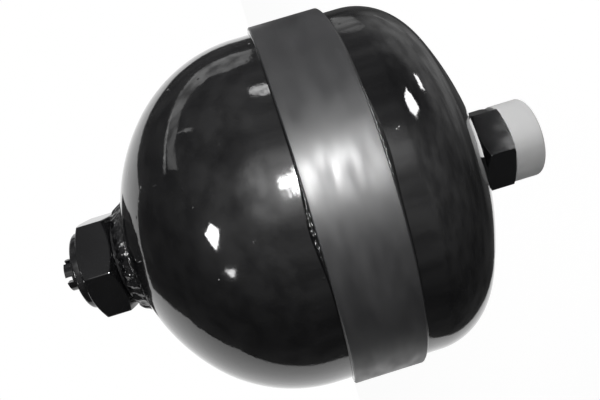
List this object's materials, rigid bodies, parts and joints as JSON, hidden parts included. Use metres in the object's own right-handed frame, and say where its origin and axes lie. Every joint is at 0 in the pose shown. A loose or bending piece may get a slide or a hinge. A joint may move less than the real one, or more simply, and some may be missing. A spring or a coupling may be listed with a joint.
{
  "type": "pressure accumulator",
  "caption": "Welded diaphragm pressure accumulator: two domed black shells under a joint band, hexagon gas filling end, hexagon fluid port with a push-on cap.",
  "frame": {"origin": "centre of the joint band, on the axis, in the plane of the seam between the shells", "axes": "+Z along the axis from the fluid port to the gas filling end; +X through one corner of each hexagon"},
  "size_m": [0.105, 0.105, 0.1406],
  "materials": {
    "gloss_black_paint": "high gloss black enamel",
    "satin_band_paint": "satin dark grey paint, lightly mottled",
    "painted_weld": "black paint over a rippled weld",
    "painted_steel_fittings": "semi-gloss black paint over machined steel",
    "cap_plastic": "matte light grey plastic",
    "bare_weld_steel": "bare weld metal",
    "inner_steel": "turned steel",
    "diaphragm_rubber": "moulded nitrile rubber",
    "seal_rubber": "black seal rubber"
  },
  "bodies": {
    "vessel": {"gas_shell": "gloss_black_paint", "fluid_shell": "gloss_black_paint", "girth_weld": "bare_weld_steel", "joint_band": "satin_band_paint", "band_bead_gas": "gloss_black_paint", "band_bead_fluid": "gloss_black_paint", "gas_boss": "painted_steel_fittings", "gas_boss_weld": "painted_weld", "gas_valve_body": "painted_steel_fittings", "gas_body_seal": "seal_rubber", "gas_cover_disc": "painted_steel_fittings", "gas_fill_screw": "painted_steel_fittings", "gas_fill_seal": "seal_rubber", "port_body": "painted_steel_fittings", "port_weld": "painted_weld", "retaining_ring": "inner_steel", "diaphragm": "diaphragm_rubber"},
    "diaphragm_centre": {"closing_button": "inner_steel", "button_washer": "inner_steel"},
    "cap": {"port_cap": "cap_plastic"}
  },
  "joints": [
    {"name": "diaphragm_stroke", "type": "slide", "parent": "vessel", "child": "diaphragm_centre", "axis": [0, 0, 1], "range_m": [0, 0.075], "stiffness_N_per_m": 15, "springref_m": -0.005, "deforming": ["diaphragm"]},
    {"name": "cap_pull", "type": "slide", "parent": "vessel", "child": "cap", "axis": [0, 0, -1], "range_m": [0, 0.03]}
  ]
}
